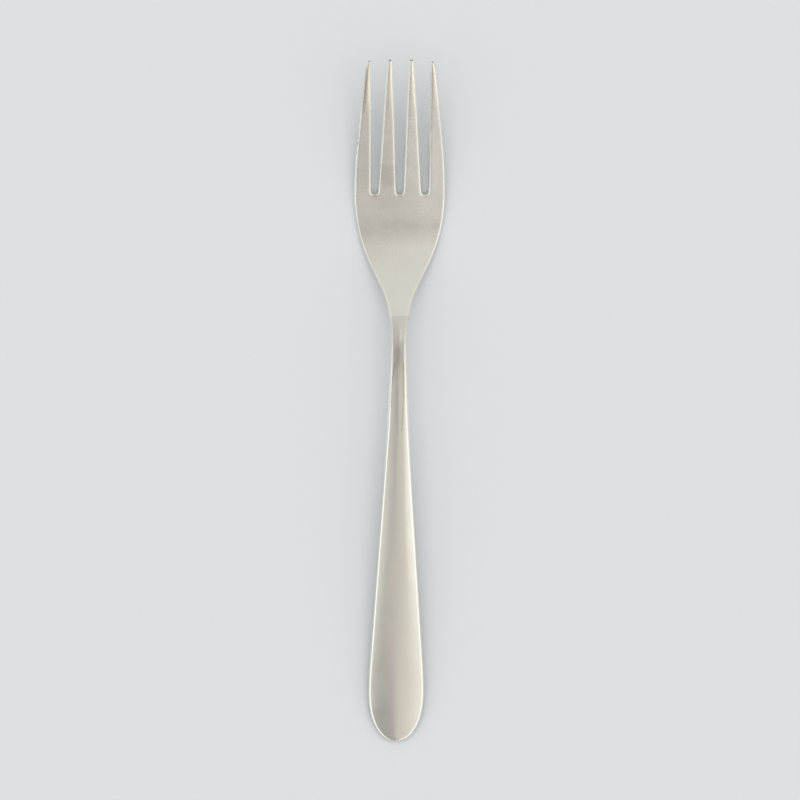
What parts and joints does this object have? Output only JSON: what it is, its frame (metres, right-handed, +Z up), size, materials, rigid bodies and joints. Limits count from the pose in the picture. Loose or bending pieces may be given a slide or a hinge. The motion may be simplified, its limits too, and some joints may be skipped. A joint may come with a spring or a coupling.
{
  "type": "dinner fork",
  "caption": "Plain polished steel dinner fork with a smooth tapering handle, a narrow arched neck, a shallow bowl and slim blunt tines swept upward.",
  "frame": {"origin": "on the surface that the fork rests on, below the middle of its length and width", "axes": "+Y along the fork from the end of the handle to the points of the tines, +X across it, +Z up through the side that food lies on"},
  "size_m": [0.0268, 0.2001, 0.0172],
  "materials": {
    "steel": "polished stainless steel with a faint lengthwise grain and a warm cream tone"
  },
  "bodies": {
    "root": {"fork": "steel"}
  },
  "joints": []
}
